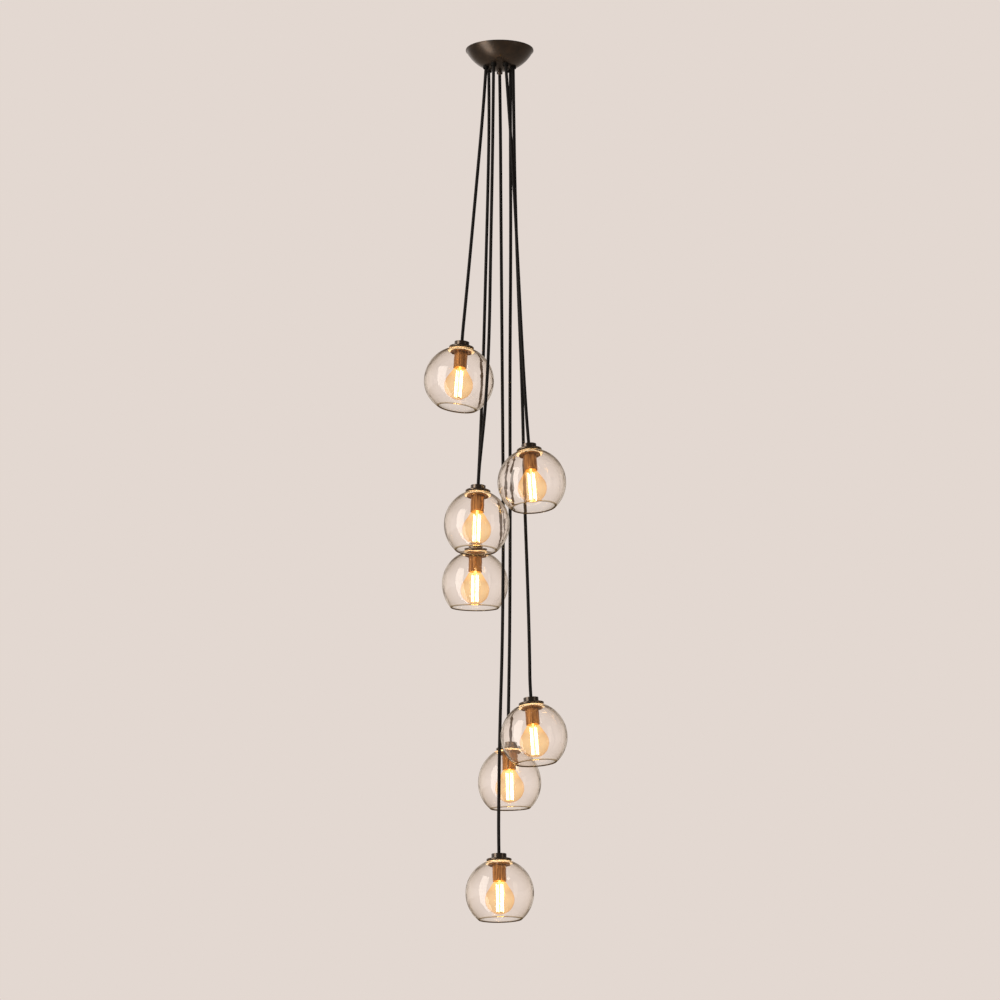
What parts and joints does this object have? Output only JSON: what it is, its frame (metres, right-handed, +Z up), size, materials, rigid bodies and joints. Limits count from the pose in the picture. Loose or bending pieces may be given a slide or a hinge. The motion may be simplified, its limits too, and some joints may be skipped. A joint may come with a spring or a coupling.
{
  "type": "cluster pendant",
  "caption": "Cluster pendant: clear blown-glass globes with bulbs hang at staggered heights on black cords from a domed ceiling canopy.",
  "frame": {"origin": "on the ceiling plane at the centre of the canopy, midway between the two crossbar slots", "axes": "+Z up towards the ceiling, -Y towards the viewer in front, +X to that viewer's right and along the crossbar"},
  "size_m": [0.2624, 0.2794, 1.6388],
  "materials": {
    "bronze": "dark oil-rubbed bronze, satin",
    "clear_glass": "clear blown glass",
    "black_cord": "black, matt",
    "brushed_bronze": "brushed warm bronze",
    "brass": "plain",
    "black_plastic": "moulded, matt",
    "amber_glass": "amber tinted, with warm glowing filaments",
    "zinc_steel": "zinc plated",
    "green_screw": "green ground screw",
    "wire_white": "insulated conductor",
    "connector": "moulded"
  },
  "bodies": {
    "canopy": {"canopy_dome": "bronze", "canopy_finial": "bronze", "ceiling_crossbar": "zinc_steel", "hanger_stud": "zinc_steel", "stud_nuts": "zinc_steel", "ground_screw": "green_screw", "cord_bushings": "black_plastic", "cord_collars": "brass", "cord_tails": "black_cord", "conductors": "wire_white", "wire_connectors": "connector"},
    "pendant_1": {"cord_1": "black_cord", "cap_1": "bronze", "glass_shade_1": "clear_glass", "shade_clamp_1": "brass", "socket_cup_1": "brushed_bronze", "lamp_holder_1": "black_plastic"},
    "lamp_1": {"bulb_1": "amber_glass"},
    "pendant_2": {"cord_2": "black_cord", "cap_2": "bronze", "glass_shade_2": "clear_glass", "shade_clamp_2": "brass", "socket_cup_2": "brushed_bronze", "lamp_holder_2": "black_plastic"},
    "lamp_2": {"bulb_2": "amber_glass"},
    "pendant_3": {"cord_3": "black_cord", "cap_3": "bronze", "glass_shade_3": "clear_glass", "shade_clamp_3": "brass", "socket_cup_3": "brushed_bronze", "lamp_holder_3": "black_plastic"},
    "lamp_3": {"bulb_3": "amber_glass"},
    "pendant_4": {"cord_4": "black_cord", "cap_4": "bronze", "glass_shade_4": "clear_glass", "shade_clamp_4": "brass", "socket_cup_4": "brushed_bronze", "lamp_holder_4": "black_plastic"},
    "lamp_4": {"bulb_4": "amber_glass"},
    "pendant_5": {"cord_5": "black_cord", "cap_5": "bronze", "glass_shade_5": "clear_glass", "shade_clamp_5": "brass", "socket_cup_5": "brushed_bronze", "lamp_holder_5": "black_plastic"},
    "lamp_5": {"bulb_5": "amber_glass"},
    "pendant_6": {"cord_6": "black_cord", "cap_6": "bronze", "glass_shade_6": "clear_glass", "shade_clamp_6": "brass", "socket_cup_6": "brushed_bronze", "lamp_holder_6": "black_plastic"},
    "lamp_6": {"bulb_6": "amber_glass"},
    "pendant_7": {"cord_7": "black_cord", "cap_7": "bronze", "glass_shade_7": "clear_glass", "shade_clamp_7": "brass", "socket_cup_7": "brushed_bronze", "lamp_holder_7": "black_plastic"},
    "lamp_7": {"bulb_7": "amber_glass"}
  },
  "joints": [
    {"name": "swing_1", "type": "hinge", "parent": "canopy", "child": "pendant_1", "pos_m": [-0.02535, -0.00579, -0.03352], "axis": [0.0499, 0.9988, 0], "range_deg": [0, 8]},
    {"name": "bulb_out_1", "type": "slide", "parent": "pendant_1", "child": "lamp_1", "axis": [-0.0732, -0.0052, -0.9973], "range_m": [0, 0.022]},
    {"name": "swing_2", "type": "hinge", "parent": "canopy", "child": "pendant_2", "pos_m": [0.01128, -0.02343, -0.03352], "axis": [-0.867, -0.4983, 0], "range_deg": [0, 8]},
    {"name": "bulb_out_2", "type": "slide", "parent": "pendant_2", "child": "lamp_2", "axis": [0.0747, -0.08, -0.994], "range_m": [0, 0.022]},
    {"name": "swing_3", "type": "hinge", "parent": "canopy", "child": "pendant_3", "pos_m": [-0.01128, -0.02343, -0.03352], "axis": [-0.9371, 0.3489, 0], "range_deg": [0, 8]},
    {"name": "bulb_out_3", "type": "slide", "parent": "pendant_3", "child": "lamp_3", "axis": [-0.0314, -0.0523, -0.9981], "range_m": [0, 0.022]},
    {"name": "swing_4", "type": "hinge", "parent": "canopy", "child": "pendant_4", "pos_m": [-0.02033, 0.01621, -0.03352], "axis": [0.8924, 0.4512, 0], "range_deg": [0, 8]},
    {"name": "bulb_out_4", "type": "slide", "parent": "pendant_4", "child": "lamp_4", "axis": [-0.0139, 0.0558, -0.9983], "range_m": [0, 0.022]},
    {"name": "swing_5", "type": "hinge", "parent": "canopy", "child": "pendant_5", "pos_m": [0.02535, -0.00579, -0.03352], "axis": [0.361, -0.9326, 0], "range_deg": [0, 8]},
    {"name": "bulb_out_5", "type": "slide", "parent": "pendant_5", "child": "lamp_5", "axis": [0.0784, -0.0209, -0.9967], "range_m": [0, 0.022]},
    {"name": "swing_6", "type": "hinge", "parent": "canopy", "child": "pendant_6", "pos_m": [0.02033, 0.01621, -0.03352], "axis": [0.9536, -0.3011, 0], "range_deg": [0, 8]},
    {"name": "bulb_out_6", "type": "slide", "parent": "pendant_6", "child": "lamp_6", "axis": [0.0279, 0.0384, -0.9989], "range_m": [0, 0.022]},
    {"name": "swing_7", "type": "hinge", "parent": "canopy", "child": "pendant_7", "pos_m": [0, 0.026, -0.03352], "axis": [-0.9536, 0.3011, 0], "range_deg": [0, 1.4]},
    {"name": "bulb_out_7", "type": "slide", "parent": "pendant_7", "child": "lamp_7", "axis": [0.0209, -0.0227, -0.9995], "range_m": [0, 0.022]}
  ]
}
